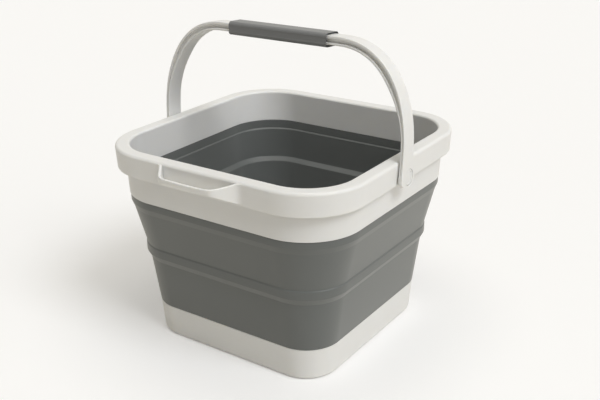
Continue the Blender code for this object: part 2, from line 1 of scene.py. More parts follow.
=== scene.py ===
"""Looks of the collapsible camp bucket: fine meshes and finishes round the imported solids."""
from __future__ import annotations

import logging
import math
from dataclasses import dataclass, field
from enum import Enum
from typing import Any, NamedTuple, Sequence

import bmesh
import bpy
from mathutils import Matrix, Vector

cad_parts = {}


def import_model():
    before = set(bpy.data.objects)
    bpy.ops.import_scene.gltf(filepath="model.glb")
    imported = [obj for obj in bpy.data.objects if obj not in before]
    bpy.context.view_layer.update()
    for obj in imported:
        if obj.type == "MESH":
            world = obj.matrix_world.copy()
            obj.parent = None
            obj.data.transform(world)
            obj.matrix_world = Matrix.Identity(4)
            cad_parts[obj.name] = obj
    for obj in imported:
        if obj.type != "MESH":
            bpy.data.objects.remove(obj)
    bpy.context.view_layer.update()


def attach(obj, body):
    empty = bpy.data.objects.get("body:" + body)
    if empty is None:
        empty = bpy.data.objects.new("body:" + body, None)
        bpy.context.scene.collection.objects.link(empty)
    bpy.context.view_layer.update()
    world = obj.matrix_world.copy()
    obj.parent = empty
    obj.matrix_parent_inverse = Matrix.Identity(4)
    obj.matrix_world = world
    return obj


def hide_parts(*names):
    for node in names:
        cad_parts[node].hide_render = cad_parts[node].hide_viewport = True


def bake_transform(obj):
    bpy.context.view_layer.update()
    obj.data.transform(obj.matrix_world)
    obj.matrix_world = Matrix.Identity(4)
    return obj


LOG = logging.getLogger("bucket")
MM = 0.001
IMAGE_WIDTH = 600.0
SENSOR_WIDTH = 36.0
OVERRUN = 2.0 * MM
CORNER_SHARE = 0.45
WELD = 0.002 * MM
FLAT_EDGE = 0.35 * MM
MIX_SHARE, MIX_LOW, MIX_HIGH, MIX_RESULT = 0, 6, 7, 2


class Body(Enum):
    """The bodies that a piece can ride on."""

    BASE = "base"
    RIM = "rim"
    BAIL = "bail"


class Slot(Enum):
    """The record's material slots."""

    HARD = "hard_plastic"
    WALL = "soft_wall"
    GRIP = "soft_grip"


class Noise(NamedTuple):
    """The scale, detail and roughness of a noise."""

    scale: float
    detail: float
    roughness: float


class Signal:
    """A shader socket on which maths is written as plain expressions."""

    def __init__(self, recipe: Recipe, socket: bpy.types.NodeSocket) -> None:
        """Keep the socket and the recipe that it belongs to."""
        self.recipe = recipe
        self.socket = socket

    def _maths(self, operation: str, first: Any, second: Any) -> Signal:
        """Add one Math node.

        Args:
            operation: the Math node's operation.
            first: its first value or signal.
            second: its second value or signal.

        Returns:
            The node's result.
        """
        settings = {"operation": operation}
        return self.recipe.node("ShaderNodeMath", settings, {0: first, 1: second}, "Value")

    def __add__(self, other: Any) -> Signal:
        """Add."""
        return self._maths("ADD", self, other)

    __radd__ = __add__

    def __sub__(self, other: Any) -> Signal:
        """Subtract."""
        return self._maths("SUBTRACT", self, other)

    def __rsub__(self, other: Any) -> Signal:
        """Subtract from a number."""
        return self._maths("SUBTRACT", other, self)

    def __mul__(self, other: Any) -> Signal:
        """Multiply."""
        return self._maths("MULTIPLY", self, other)

    __rmul__ = __mul__

    def or_more(self, other: Any) -> Signal:
        """The larger of this and another."""
        return self._maths("MAXIMUM", self, other)


class Recipe:
    """The node tree of a material or world, and the one method that adds nodes to it."""

    def __init__(self, owner: bpy.types.Material | bpy.types.World, shader: str) -> None:
        """Switch on the owner's nodes and keep the shader that they start with.

        Args:
            owner: the material or world.
            shader: the name of that shader's node.
        """
        owner.use_nodes = True
        self.tree = owner.node_tree
        self.shader = self.tree.nodes[shader]

    def node(self, kind: str, settings: dict[str, Any], inputs: dict[Any, Any], output: Any) -> Signal:
        """Add a node, set it, then feed its sockets.

        Args:
            kind: the node's type.
            settings: its own properties, set first.
            inputs: a value or a signal for each socket, by name or number.
            output: the name or number of the socket that is handed back.

        Returns:
            The chosen output as a signal.
        """
        node = self.tree.nodes.new(kind)
        for key, value in settings.items():
            setattr(node, key, value)
        for key, value in inputs.items():
            self.feed(node.inputs[key], value)
        return Signal(self, node.outputs[output])

    def feed(self, socket: bpy.types.NodeSocket, value: Any) -> None:
        """Link a signal to a socket, or set the socket's own value.

        Args:
            socket: the socket to feed.
            value: the signal or the value.
        """
        if isinstance(value, Signal):
            self.tree.links.new(value.socket, socket)
        else:
            socket.default_value = value

    def finish(self, surface: Signal) -> None:
        """Make a shader the material's surface."""
        self.tree.links.new(surface.socket, self.tree.nodes["Material Output"].inputs["Surface"])

    def noise(self, pattern: Noise) -> Signal:
        """Noise over the object's own space.

        Args:
            pattern: the noise's scale, detail and roughness.

        Returns:
            The noise, from 0 to 1.
        """
        place = self.node("ShaderNodeTexCoord", {}, {}, "Object")
        inputs = {"Vector": place, "Scale": pattern.scale, "Detail": pattern.detail,
                  "Roughness": pattern.roughness}
        return self.node("ShaderNodeTexNoise", {}, inputs, 0)

    def tint(self, share: Signal, low: Sequence[float], high: Sequence[float]) -> Signal:
        """Mix two colours by a signal.

        Args:
            share: how much of the second colour there is.
            low: the first colour.
            high: the second colour.

        Returns:
            The mixed colour.
        """
        settings = {"data_type": "RGBA"}
        inputs = {MIX_SHARE: share, MIX_LOW: (*low, 1.0), MIX_HIGH: (*high, 1.0)}
        return self.node("ShaderNodeMix", settings, inputs, MIX_RESULT)

    def bump(self, height: Signal, strength: float, distance: float) -> Signal:
        """Turn a height into a normal."""
        inputs = {"Height": height, "Strength": strength, "Distance": distance}
        return self.node("ShaderNodeBump", {}, inputs, "Normal")


def scaled(colour: Sequence[float], factor: float) -> tuple[float, ...]:
    """A colour times a number."""
    return tuple(channel * factor for channel in colour)


@dataclass(frozen=True)
class MouldedFinish:
    """A moulded plastic or elastomer, with faint cloudiness, spark-eroded grain and uneven gloss."""

    name: str
    slot: Slot
    colour: tuple[float, float, float]
    roughness: float
    cloud: float = 0.02
    cloud_noise: Noise = Noise(18.0, 3.0, 0.55)
    mottle_noise: Noise = Noise(160.0, 2.0, 0.6)
    cloud_share: float = 0.7
    gloss_swing: float = 0.05
    grain_noise: Noise = Noise(1400.0, 2.0, 0.7)
    grain_depth: float = 0.02 * MM
    grain_strength: float = 0.25
    specular: float = 0.5
    sheen: float = 0.0
    sheen_roughness: float = 0.6
    translucence: float = 0.0
    scatter: float = 2.5 * MM
    scatter_shares: tuple[float, float, float] = (1.0, 0.95, 0.85)

    def make(self) -> bpy.types.Material:
        """Build the material.

        Returns:
            The finished material.
        """
        material = bpy.data.materials.new(self.name)
        recipe = Recipe(material, "Principled BSDF")
        clouds = recipe.noise(self.cloud_noise)
        mottle = recipe.noise(self.mottle_noise)
        grain = recipe.noise(self.grain_noise)
        share = clouds * self.cloud_share + mottle * (1.0 - self.cloud_share)
        low = scaled(self.colour, 1.0 - self.cloud)
        high = scaled(self.colour, 1.0 + self.cloud)
        shader = recipe.shader
        recipe.feed(shader.inputs["Base Color"], recipe.tint(share, low, high))
        gloss = self.roughness - self.gloss_swing + share * (2.0 * self.gloss_swing)
        recipe.feed(shader.inputs["Roughness"], gloss)
        recipe.feed(shader.inputs["Normal"], recipe.bump(grain, self.grain_strength, self.grain_depth))
        shader.inputs["Specular IOR Level"].default_value = self.specular
        shader.inputs["Sheen Weight"].default_value = self.sheen
        shader.inputs["Sheen Roughness"].default_value = self.sheen_roughness
        shader.inputs["Subsurface Weight"].default_value = self.translucence
        shader.inputs["Subsurface Radius"].default_value = self.scatter_shares
        shader.inputs["Subsurface Scale"].default_value = self.scatter
        return material


HARD_PLASTIC = MouldedFinish("warm_white_plastic", Slot.HARD, (0.768, 0.768, 0.758), 0.42,
                             translucence=0.5)
SOFT_WALL = MouldedFinish("grey_folding_wall", Slot.WALL, (0.115, 0.124, 0.121), 0.38, cloud=0.04,
                          grain_strength=0.35, specular=0.34, sheen=0.22)
SOFT_GRIP = MouldedFinish("dark_grip", Slot.GRIP, (0.158, 0.163, 0.166), 0.46, cloud=0.05,
                          grain_strength=0.4, sheen=0.08)


class Corner(NamedTuple):
    """A corner of a wall's profile: half width, height, straight half side and its fillet."""

    half: float
    z: float
    straight: float
    fillet: float = 0.0


class Outline(NamedTuple):
    """How finely a wall's profile is drawn round the rounded square."""

    corner_steps: int = 28
    fillet_steps: int = 6


def filleted(corners: Sequence[Corner], closed: bool, steps: int) -> list[Corner]:
    """Replace each corner that has a fillet by its arc.

    Args:
        corners: the profile's corners in order.
        closed: whether the last corner joins the first.
        steps: the number of steps in an arc.

    Returns:
        The profile's points.
    """
    count = len(corners)
    points = []
    for index, corner in enumerate(corners):
        if corner.fillet <= 0.0 or (not closed and index in (0, count - 1)):
            points.append(corner)
            continue
        here = Vector(corner[:3])
        back = Vector(corners[index - 1][:3]) - here
        ahead = Vector(corners[(index + 1) % count][:3]) - here
        half_angle = back.angle(ahead) / 2.0
        reach = min(corner.fillet / math.tan(half_angle), CORNER_SHARE * min(back.length, ahead.length))
        radius = reach * math.tan(half_angle)
        way = (back.normalized() + ahead.normalized()).normalized()
        middle = here + way * radius / math.sin(half_angle)
        first = here + back.normalized() * reach - middle
        last = here + ahead.normalized() * reach - middle
        for step in range(steps + 1):
            points.append(Corner(*(middle + first.slerp(last, step / steps).normalized() * radius)))
    return points


def square_ring(corner: Corner, steps: int) -> list[Vector]:
    """Draw one ring round the rounded square: four corner arcs joined by straight sides.

    Args:
        corner: the profile's point that the ring goes through.
        steps: the number of steps in a corner.

    Returns:
        The ring's points.
    """
    radius = corner.half - corner.straight
    points = []
    for quadrant, (side_x, side_y) in enumerate(((1, 1), (-1, 1), (-1, -1), (1, -1))):
        for step in range(steps + 1):
            angle = (quadrant + step / steps) * math.pi / 2.0
            points.append(Vector((side_x * corner.straight + radius * math.cos(angle),
                                  side_y * corner.straight + radius * math.sin(angle), corner.z)))
    return points


def skin(name: str, rings: Sequence[Sequence[Vector]], closed: bool) -> bpy.types.Object:
    """Skin a row of rings into a closed body.

    Args:
        name: the object's name.
        rings: rings of equal length.
        closed: whether the last ring joins the first; if not, both ends get a cap.

    Returns:
        The new object.
    """
    bm = bmesh.new()
    rows = [[bm.verts.new(point) for point in ring] for ring in rings]
    pairs = list(zip(rows, rows[1:]))
    if closed:
        pairs.append((rows[-1], rows[0]))
    for low, high in pairs:
        for index in range(len(low)):
            after = (index + 1) % len(low)
            bm.faces.new((low[index], low[after], high[after], high[index]))
    if not closed:
        bm.faces.new(rows[0])
        bm.faces.new(rows[-1])
    return from_bmesh(name, bm)


def from_bmesh(name: str, bm: bmesh.types.BMesh) -> bpy.types.Object:
    """Turn a bmesh into a linked object with its faces pointing out.

    Args:
        name: the object's name.
        bm: the bmesh, which is freed.

    Returns:
        The new object.
    """
    bmesh.ops.recalc_face_normals(bm, faces=bm.faces)
    mesh = bpy.data.meshes.new(name)
    bm.to_mesh(mesh)
    bm.free()
    made = bpy.data.objects.new(name, mesh)
    bpy.context.scene.collection.objects.link(made)
    return made


def wall(name: str, corners: Sequence[Corner], closed: bool,
         outline: Outline = Outline()) -> bpy.types.Object:
    """Draw a wall's profile round the rounded square."""
    points = filleted(corners, closed, outline.fillet_steps)
    return skin(name, [square_ring(point, outline.corner_steps) for point in points], closed)


def disc(name: str, radius: float, start: float, end: float, y: float, z: float,
         segments: int = 64) -> bpy.types.Object:
    """Make a cylinder along X.

    Args:
        name: the object's name.
        radius: its radius.
        start: where it starts along X.
        end: where it ends along X.
        y: its axis along Y.
        z: its axis along Z.
        segments: the number of its sides.

    Returns:
        The new object.
    """
    bm = bmesh.new()
    bmesh.ops.create_cone(bm, cap_ends=True, segments=segments, radius1=radius, radius2=radius,
                          depth=abs(end - start))
    turn = Matrix.Rotation(math.pi / 2.0, 3, "Y") @ Matrix.Rotation(math.pi / segments, 3, "Z")
    bmesh.ops.rotate(bm, verts=bm.verts, cent=Vector(), matrix=turn)
    bmesh.ops.translate(bm, verts=bm.verts, vec=Vector(((start + end) / 2.0, y, z)))
    return from_bmesh(name, bm)


def carve(piece: bpy.types.Object, tool: bpy.types.Object, operation: str) -> None:
    """Join a tool to a piece, or cut it away, and remove the tool.

    Args:
        piece: the piece to change.
        tool: the object to join or cut with.
        operation: UNION or DIFFERENCE.
    """
    boolean = piece.modifiers.new("carve", "BOOLEAN")
    boolean.operation = operation
    boolean.solver = "EXACT"
    boolean.object = tool
    bpy.context.view_layer.update()
    evaluated = piece.evaluated_get(bpy.context.evaluated_depsgraph_get())
    piece.modifiers.clear()
    piece.data = bpy.data.meshes.new_from_object(evaluated)
    bpy.data.objects.remove(tool, do_unlink=True)


def polish(piece: bpy.types.Object, sharp_degrees: float = 32.0, weighted: bool = True) -> None:
    """Shade a piece smooth over its shallow angles.

    Args:
        piece: the piece.
        sharp_degrees: the angle from which an edge stays sharp.
        weighted: whether its large faces are kept flat.
    """
    piece.data.shade_smooth()
    piece.data.set_sharp_from_angle(angle=math.radians(sharp_degrees))
    if weighted:
        even = piece.modifiers.new("even_normals", "WEIGHTED_NORMAL")
        even.keep_sharp = True


def dress(piece: bpy.types.Object, material: bpy.types.Material, finish: MouldedFinish, body: Body,
          *nodes: str) -> None:
    """Give a piece its material, stand it for CAD nodes and put it on its body.

    Args:
        piece: the piece.
        material: its material.
        finish: the finish that the material was made from; not used.
        body: the body that it rides on.
        nodes: the CAD nodes that it stands for.
    """
    piece.data.materials.clear()
    piece.data.materials.append(material)
    if nodes:
        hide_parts(*nodes)
    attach(piece, body.value)
    LOG.info("%s rides on %s", piece.name, body.value)


@dataclass
class BasePan:
    """Hard pan with a foot ring, a relief under the floor and a tongue for the soft wall."""

    material: bpy.types.Material
    foot_half: float = 105.2 * MM
    foot_fillet: float = 4.6 * MM
    height: float = 35.0 * MM
    flare: float = 2.4 * MM
    thickness: float = 2.8 * MM
    floor: float = 3.6 * MM
    inner_fillet: float = 6.0 * MM
    ring: float = 7.5 * MM
    relief: float = 22.0 * MM
    relief_depth: float = 1.2 * MM
    tongue: float = 5.0 * MM
    tongue_wall: float = 1.1 * MM
    straight: float = 71.0 * MM
    gap: float = 0.3 * MM
    edge: float = FLAT_EDGE

    def build(self) -> None:
        """Build and dress the pan."""
        foot = self.foot_half - self.flare * self.foot_fillet / self.height
        ring = foot - self.foot_fillet - self.ring
        top = self.foot_half + self.flare
        inner = top - self.thickness
        slope = self.flare / self.height
        middle = self.straight / 2.0
        edge = self.edge
        corners = [
            Corner(ring - self.relief, 0.0, middle),
            Corner(ring - self.relief + self.relief_depth, self.relief_depth, middle, edge),
            Corner(ring, self.relief_depth, self.straight, edge),
            Corner(ring + self.relief_depth, 0.0, self.straight, edge),
            Corner(foot, 0.0, self.straight, self.foot_fillet),
            Corner(top, self.height - self.gap, self.straight, edge),
            Corner(inner + self.tongue_wall, self.height - self.gap, self.straight),
            Corner(inner + self.tongue_wall, self.height + self.tongue, self.straight),
            Corner(inner, self.height + self.tongue, self.straight, edge),
            Corner(inner - slope * (self.height - self.floor), self.floor, self.straight,
                   self.inner_fillet),
            Corner(ring - self.relief, self.floor, middle),
        ]
        pan = wall("pan_shell", corners, False)
        polish(pan)
        dress(pan, self.material, HARD_PLASTIC, Body.BASE, "base_pan")


@dataclass
class FoldingWall:
    """The one soft moulding between pan and rim: lower wall, rib, upper wall, lip and lining."""

    material: bpy.types.Material
    pan_half: float = 107.6 * MM
    pan_top: float = 35.0 * MM
    pan_wall: float = 2.8 * MM
    tongue: float = 5.0 * MM
    tongue_wall: float = 1.1 * MM
    gap: float = 0.3 * MM
    thickness: float = 2.8 * MM
    lower_half: float = 114.1 * MM
    lower_top: float = 87.0 * MM
    rib_half: float = 117.8 * MM
    rib_low: float = 93.8 * MM
    rib_high: float = 102.0 * MM
    upper_low: float = 103.2 * MM
    rib_proud: float = 0.8 * MM
    upper_half: float = 126.9 * MM
    upper_high: float = 144.2 * MM
    lip_half: float = 129.3 * MM
    lip_low: float = 150.4 * MM
    lip_high: float = 157.2 * MM
    hoop: float = 130.0 * MM
    hoop_ledge: float = 5.0 * MM
    hoop_fall: float = 4.2 * MM
    lower_ledge: float = 2.4 * MM
    lining_half: float = 126.7 * MM
    lining_flare: float = 0.6 * MM
    lining_top: float = 173.7 * MM
    lining_wall: float = 4.3 * MM
    lining_band: float = 9.0 * MM
    lining_step: float = 1.2 * MM
    straight: float = 71.4 * MM
    collar_straight: float = 72.5 * MM
    foot_edge: float = FLAT_EDGE
    top_edge: float = 0.6 * MM
    lip_edge: float = 0.5 * MM
    lip_bend: float = 1.6 * MM
    wall_bend: float = 2.6 * MM
    rib_bend: float = 1.8 * MM
    rib_edge: float = 1.0 * MM
    tongue_slack: float = 0.1 * MM
    ledge_bend: float = 1.2 * MM
    hoop_low_bend: float = 1.6 * MM
    hoop_bend: float = 1.4 * MM
    step_bend: float = 1.0 * MM
    step_edge: float = 0.9 * MM
    fold_slack: float = 3.0 * MM
    fold_rows: int = 10
    sharp_degrees: float = 60.0

    def outside(self) -> list[Corner]:
        """Draw the outer side of the profile.

        Returns:
            Its corners, from the lining's top down to the pan.
        """
        side = self.straight
        return [
            Corner(self.lining_half + self.lining_flare, self.lining_top, self.collar_straight,
                   self.top_edge),
            Corner(self.lining_half, self.lip_high, self.collar_straight),
            Corner(self.lip_half, self.lip_high, side, self.lip_edge),
            Corner(self.lip_half, self.lip_low, side, self.lip_bend),
            Corner(self.upper_half, self.upper_high, side, self.wall_bend),
            Corner(self.rib_half - self.rib_proud, self.upper_low, side, self.rib_edge),
            Corner(self.rib_half, self.rib_high, side, self.rib_edge),
            Corner(self.rib_half, self.rib_low, side, self.rib_bend),
            Corner(self.lower_half, self.lower_top, side, self.wall_bend),
            Corner(self.pan_half, self.pan_top, side, self.foot_edge),
        ]

    def inside(self) -> list[Corner]:
        """Draw the inner side of the profile.

        Returns:
            Its corners, from the pan's tongue up to the lining's top.
        """
        side = self.straight
        inner = self.pan_half - self.pan_wall
        tongue = inner + self.tongue_wall + self.gap
        tongue_top = self.pan_top + self.tongue + self.gap
        low_inner = self.lower_half - self.thickness
        rib_inner = self.lower_half + self.gap
        share = (self.hoop - self.upper_low) / (self.upper_high - self.upper_low)
        hoop_half = self.rib_half + (self.upper_half - self.rib_half) * share - self.thickness
        lining = self.lining_half + self.lining_flare - self.lining_wall
        band_low = self.lining_top - self.lining_band
        return [
            Corner(tongue, self.pan_top, side),
            Corner(tongue, tongue_top, side),
            Corner(inner + self.tongue_slack, tongue_top, side, self.foot_edge),
            Corner(low_inner, self.lower_top + self.lower_ledge, side, self.ledge_bend),
            Corner(rib_inner, self.lower_top + 2.0 * self.lower_ledge, side, self.ledge_bend),
            Corner(hoop_half - self.hoop_ledge, self.hoop - self.hoop_fall, side, self.hoop_low_bend),
            Corner(hoop_half, self.hoop, side, self.hoop_bend),
            Corner(lining - self.lining_step, band_low - self.lining_step, side, self.step_bend),
            Corner(lining, band_low, self.collar_straight, self.step_edge),
            Corner(lining, self.lining_top, self.collar_straight, self.top_edge),
        ]

    def build(self) -> None:
        """Build the wall and cut it into rows between its rib and its lip, the band that turns inside out
        when it folds.
        """
        moulding = wall("folding_wall", self.outside() + self.inside(), True)
        low = self.upper_low - self.fold_slack
        piece = cut_in_rows(moulding, low, self.upper_high + self.fold_slack, self.fold_rows)
        piece.data.materials.append(self.material)
        polish(piece, self.sharp_degrees, weighted=False)
        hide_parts("upper_wall_band", "lower_wall_band")
        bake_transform(piece)
        LOG.info("%s folds between %s and %s", piece.name, Body.BASE.value, Body.RIM.value)


def cut_in_rows(piece: bpy.types.Object, low: float, high: float, rows: int) -> bpy.types.Object:
    """Cut the faces between two heights into rows, so that they can bend.

    Args:
        piece: the piece to cut.
        low: the lowest cut's height.
        high: the highest cut's height.
        rows: the number of rows.

    Returns:
        The same piece.
    """
    bm = bmesh.new()
    bm.from_mesh(piece.data)
    for index in range(rows + 1):
        height = low + (high - low) * index / rows
        geometry = list(bm.verts) + list(bm.edges) + list(bm.faces)
        bmesh.ops.bisect_plane(bm, geom=geometry, plane_co=(0.0, 0.0, height), plane_no=(0.0, 0.0, 1.0))
    bm.to_mesh(piece.data)
    bm.free()
    return piece


@dataclass
class RimFrame:
    """Hollow flanged rim with its collar, the loop handle on the front and a boss for each pivot pin."""

    material: bpy.types.Material
    top: float = 207.5 * MM
    half: float = 138.3 * MM
    straight: float = 77.4 * MM
    collar_straight: float = 72.5 * MM
    skirt_z: float = 184.7 * MM
    skirt_half: float = 137.1 * MM
    skirt_wall: float = 2.6 * MM
    flange: float = 14.4 * MM
    flange_wall: float = 2.8 * MM
    leg_wall: float = 2.8 * MM
    leg_taper: float = 0.9 * MM
    collar_z: float = 157.5 * MM
    collar_half: float = 129.6 * MM
    collar_flare: float = 1.0 * MM
    collar_wall: float = 2.6 * MM
    shoulder_drop: float = 1.5 * MM
    shoulder_rise: float = 3.5 * MM
    rebate: float = 174.0 * MM
    outer_edge: float = 3.0 * MM
    inner_edge: float = 2.4 * MM
    loop_half: float = 45.4 * MM
    loop_reach: float = 21.8 * MM
    loop_wall: float = 2.6 * MM
    loop_bar: float = 4.7 * MM
    loop_top_drop: float = 5.4 * MM
    loop_root_drop: float = 1.4 * MM
    loop_root_rise: float = 0.9 * MM
    loop_blend: float = 4.0 * MM
    loop_corner: float = 6.5 * MM
    loop_flank: float = 1.5
    loop_top_exponent: float = 4.7
    loop_edge: float = 0.8 * MM
    loop_end_share: float = 1.12
    loop_nudge: float = 0.02 * MM
    skirt_edge: float = 0.7 * MM
    channel_bend: float = 1.0 * MM
    shoulder_bend: float = 1.2 * MM
    collar_edge: float = 0.4 * MM
    embed: float = 0.6 * MM
    pivot_y: float = -8.0 * MM
    pivot_z: float = 190.6 * MM
    boss_radius: float = 7.6 * MM
    boss_end: float = 138.9 * MM
    bore_radius: float = 4.35 * MM
    bore_depth: float = 9.0 * MM

    def skirt_at(self, z: float) -> float:
        """Half width over the skirt's outer face at a height."""
        share = (z - self.skirt_z) / (self.top - self.skirt_z)
        return self.skirt_half + (self.half - self.skirt_half) * share

    def section(self) -> bpy.types.Object:
        """Draw the rim's channel and collar all the way round.

        Returns:
            The new object.
        """
        leg = self.half - self.flange
        foot = leg - self.leg_taper
        shoulder = self.skirt_z - self.shoulder_drop
        leg_low = shoulder + self.shoulder_rise
        share = (leg_low - self.rebate) / (self.top - self.rebate)
        collar_top = self.collar_half + self.collar_flare
        flared = (self.rebate - self.collar_z) / (self.skirt_z - self.collar_z)
        rebate_half = self.collar_half + self.collar_flare * flared - self.collar_wall
        side = self.straight
        corners = [
            Corner(leg, self.top, side, self.inner_edge),
            Corner(self.half, self.top, side, self.outer_edge),
            Corner(self.skirt_half, self.skirt_z, side, self.skirt_edge),
            Corner(self.skirt_half - self.skirt_wall, self.skirt_z, side, self.skirt_edge),
            Corner(self.half - self.skirt_wall, self.top - self.flange_wall, side, self.channel_bend),
            Corner(leg + self.leg_wall, self.top - self.flange_wall, side, self.channel_bend),
            Corner(foot + self.leg_taper * share + self.leg_wall, leg_low, side, self.channel_bend),
            Corner(collar_top, shoulder, self.collar_straight, self.shoulder_bend),
            Corner(self.collar_half, self.collar_z, self.collar_straight, self.collar_edge),
            Corner(self.collar_half - self.collar_wall, self.collar_z, self.collar_straight),
            Corner(rebate_half, self.rebate, self.collar_straight),
            Corner(foot, self.rebate, self.collar_straight, self.collar_edge),
        ]
        return wall("rim_shell", corners, True)

    def reach_at(self, along: float) -> float:
        """How far the loop's outer face stands out of the skirt, with a soft run into it.

        Args:
            along: the place along the front, from the middle.

        Returns:
            The reach there.
        """
        flank = (self.loop_half - abs(along)) * self.loop_flank
        bulge = (self.loop_reach + flank - math.hypot(self.loop_reach - flank, self.loop_corner)) / 2.0
        return (bulge + math.hypot(bulge, self.loop_blend)) / 2.0 - self.embed

    def loop(self, stations: int = 110) -> bpy.types.Object:
        """Make the loop handle: a slim bar at the middle, tall at the roots.

        Args:
            stations: the number of steps from root to root.

        Returns:
            The new object.
        """
        end = self.loop_half * self.loop_end_share
        nudge = self.loop_nudge
        rings = []
        for station in range(stations + 1):
            along = end * math.sin((station / stations - 0.5) * math.pi)
            slope = (self.reach_at(along + nudge) - self.reach_at(along - nudge)) / (2.0 * nudge)
            inward = Vector((slope, -1.0)).normalized() * self.loop_wall
            share = min(abs(along) / self.loop_half, 1.0)
            bar_top = self.top - self.loop_top_drop
            root_top = self.top - self.loop_root_drop
            bar_low = bar_top - self.loop_bar
            root_low = self.skirt_z + self.loop_root_rise
            drawn_in = 1.0 - (self.reach_at(along) + self.embed) / self.loop_reach
            high = bar_top + (root_top - bar_top) * share ** self.loop_top_exponent
            low = bar_low + (root_low - bar_low) * min(max(drawn_in, 0.0), 1.0)
            outline = self.loop_outline(low, high)
            rings.append([self.loop_point(along, inward, depth, z) for depth, z in outline])
        return skin("loop_blank", rings, False)

    def loop_point(self, along: float, inward: Vector, depth: float, z: float) -> Vector:
        """A point of the loop's section, kept inside the skirt's wall at the roots."""
        reach = max(self.reach_at(along) + inward.y * depth, self.embed - self.skirt_wall)
        return Vector((along + inward.x * depth, -self.skirt_at(z) - reach, z))

    def loop_outline(self, low: float, high: float, steps: int = 4) -> list[tuple[float, float]]:
        """Draw the loop's section: a slim rectangle with round edges.

        Args:
            low: the height of its lower edge.
            high: the height of its upper edge.
            steps: the number of steps in a rounded edge.

        Returns:
            The (share of the wall's depth, height) points.
        """
        radius = self.loop_edge
        share = radius / self.loop_wall
        outline = []
        middles = ((1.0 - share, high - radius), (share, high - radius), (share, low + radius),
                   (1.0 - share, low + radius))
        for quadrant, (depth, z) in enumerate(middles):
            for step in range(steps + 1):
                angle = (quadrant + step / steps) * math.pi / 2.0
                outline.append((depth + share * math.cos(angle), z + radius * math.sin(angle)))
        return outline

    def build(self) -> None:
        """Join the loop and the bosses to the rim, bore the bosses and dress the rim."""
        rim = self.section()
        carve(rim, self.loop(), "UNION")
        leg = self.half - self.flange + self.leg_wall / 2.0
        for side in (-1.0, 1.0):
            boss = disc("boss", self.boss_radius, side * leg, side * self.boss_end, self.pivot_y,
                        self.pivot_z)
            carve(rim, boss, "UNION")
            start = side * (self.boss_end - self.bore_depth)
            end = side * (self.boss_end + OVERRUN)
            bore = disc("bore", self.bore_radius, start, end, self.pivot_y, self.pivot_z)
            carve(rim, bore, "DIFFERENCE")
        polish(rim)
        dress(rim, self.material, HARD_PLASTIC, Body.RIM, "rim_frame")


class Station(NamedTuple):
    """A place on the bail's outer face, its way out and its distance from the nearer pivot."""

    point: Vector
    outwards: Vector
    along: float


@dataclass
class BailArch:
    """The line of the bail's outer face, which the bail and its grip both follow, and its lean.

    Its bends are superellipse quarters between the straight legs and the straight top.
    """

    half: float = 142.8 * MM
    rise: float = 121.3 * MM
    leg: float = 22.0 * MM
    top_half: float = 67.0 * MM
    bend_exponent: float = 2.27
    lean: float = math.radians(3.4)
    ahead: float = 3.8 * MM
    pivot_y: float = -8.0 * MM
    pivot_z: float = 190.6 * MM
    fineness: int = 4000

    def point(self, angle: float) -> Vector:
        """Find a point of the line's bends.

        Args:
            angle: the way along them, from 0 at +X to pi at -X.

        Returns:
            The (across, up) point in the bail's own plane.
        """
        power = 2.0 / self.bend_exponent
        across = self.top_half + (self.half - self.top_half) * abs(math.cos(angle)) ** power
        up = self.leg + (self.rise - self.leg) * max(math.sin(angle), 0.0) ** power
        return Vector((math.copysign(across, math.cos(angle)), up))

    def stations(self, count: int, reach: float) -> list[Station]:
        """Evenly spaced places within a reach either side of the middle.

        Args:
            count: the number of steps between them.
            reach: how far to each side they go.

        Returns:
            The places, from +X to -X.
        """
        bends = [self.point(math.pi * step / self.fineness) for step in range(self.fineness + 1)]
        fine = [Vector((self.half, 0.0)), *bends, Vector((-self.half, 0.0))]
        lengths = [0.0]
        for before, after in zip(fine, fine[1:]):
            lengths.append(lengths[-1] + (after - before).length)
        middle = lengths[-1] / 2.0
        half = min(reach, middle)
        found = []
        place = 0
        for step in range(count + 1):
            wanted = middle - half + 2.0 * half * step / count
            while place < len(lengths) - 2 and lengths[place + 1] < wanted:
                place += 1
            share = (wanted - lengths[place]) / (lengths[place + 1] - lengths[place])
            run = (fine[place + 1] - fine[place]).normalized()
            point = fine[place].lerp(fine[place + 1], share)
            found.append(Station(point, Vector((run.y, -run.x)), min(wanted, lengths[-1] - wanted)))
        return found

    def set_across(self, station: Station, outline: Sequence[tuple[float, float]],
                   along: float = 0.0) -> list[Vector]:
        """Set a flat (sideways, outwards) outline square across the bail, in its plane ahead of the pivots.

        Args:
            station: the place on the outer face.
            outline: the outline's points.
            along: how far to move them along the bail.

        Returns:
            The points in space.
        """
        point, outwards, _ = station
        middle = point + Vector((outwards.y, -outwards.x)) * along
        return [Vector((middle.x + outwards.x * out, side - self.ahead, middle.y + outwards.y * out))
                for side, out in outline]

    def stand(self, piece: bpy.types.Object) -> None:
        """Lean a piece that was built upright at height zero, and lift it to the pivots."""
        turn = Matrix.Rotation(-self.lean, 4, "X")
        piece.data.transform(Matrix.Translation((0.0, self.pivot_y, self.pivot_z)) @ turn)


def quarter_arc(side: float, out: float, radius: float, quadrant: int,
                steps: int) -> list[tuple[float, float]]:
    """Points of a quarter circle round a (sideways, outwards) middle.

    Args:
        side: the middle's place sideways.
        out: the middle's place outwards.
        radius: the circle's radius.
        quadrant: which quarter, counted anticlockwise from sideways.
        steps: the number of steps.

    Returns:
        The points.
    """
    points = []
    for step in range(steps + 1):
        angle = (quadrant + step / steps) * math.pi / 2.0
        points.append((side + radius * math.cos(angle), out + radius * math.sin(angle)))
    return points


